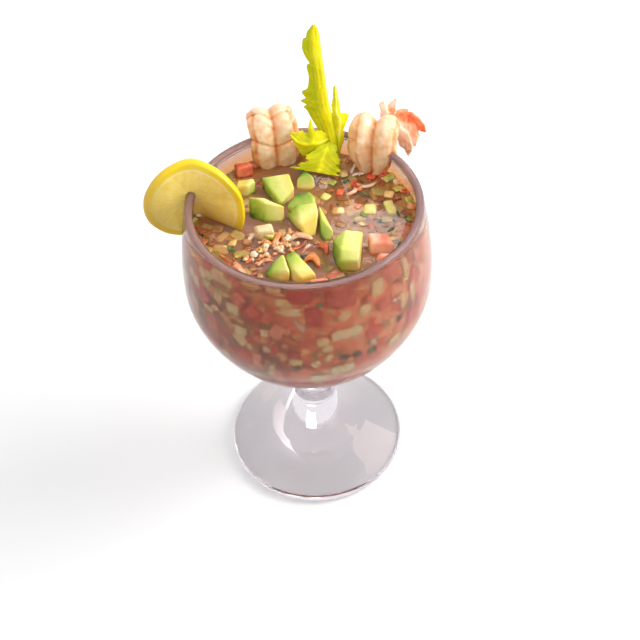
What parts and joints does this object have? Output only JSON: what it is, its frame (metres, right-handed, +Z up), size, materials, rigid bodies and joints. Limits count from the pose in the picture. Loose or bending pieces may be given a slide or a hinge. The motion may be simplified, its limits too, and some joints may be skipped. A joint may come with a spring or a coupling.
{
  "type": "cup of shrimp cocktail",
  "caption": "Thick stemmed glass bowl of shrimp cocktail in broth, with avocado cubes and a celery sprig on top, and lemon and shrimp hung on its rim.",
  "frame": {"origin": "centre of the goblet's foot, on the surface that it stands on", "axes": "+Z up along the goblet's axis; -Y towards the picture's viewer; +X to the viewer's right, so the lemon slice hangs on the -X side of the rim and the shrimps on the +Y side"},
  "size_m": [0.1484, 0.1413, 0.2672],
  "materials": {
    "clear_glass": "clear, polished, slightly mauve where it is thick",
    "cocktail_mix": "wet, glossy, cloudy red-brown broth with diced vegetables",
    "lemon": "waxy rind, moist segments",
    "celery_leaf": "satin leaf, ribbed stalk",
    "shrimp_flesh": "moist cooked flesh, cream with orange-pink seams",
    "avocado_flesh": "soft, moist cut flesh, green to pale yellow",
    "tomato_flesh": "moist cut flesh",
    "onion_flesh": "moist, milky"
  },
  "bodies": {
    "root": {"goblet": "clear_glass", "cocktail": "cocktail_mix", "lemon_slice": "lemon", "celery": "celery_leaf", "shrimp_left": "shrimp_flesh", "shrimp_right": "shrimp_flesh", "avocado_1": "avocado_flesh", "avocado_2": "avocado_flesh", "avocado_3": "avocado_flesh", "avocado_4": "avocado_flesh", "avocado_5": "avocado_flesh", "avocado_6": "avocado_flesh", "avocado_7": "avocado_flesh", "avocado_8": "avocado_flesh", "avocado_9": "avocado_flesh", "avocado_10": "avocado_flesh", "tomato_1": "tomato_flesh", "tomato_2": "tomato_flesh", "onion_1": "onion_flesh"}
  },
  "joints": []
}
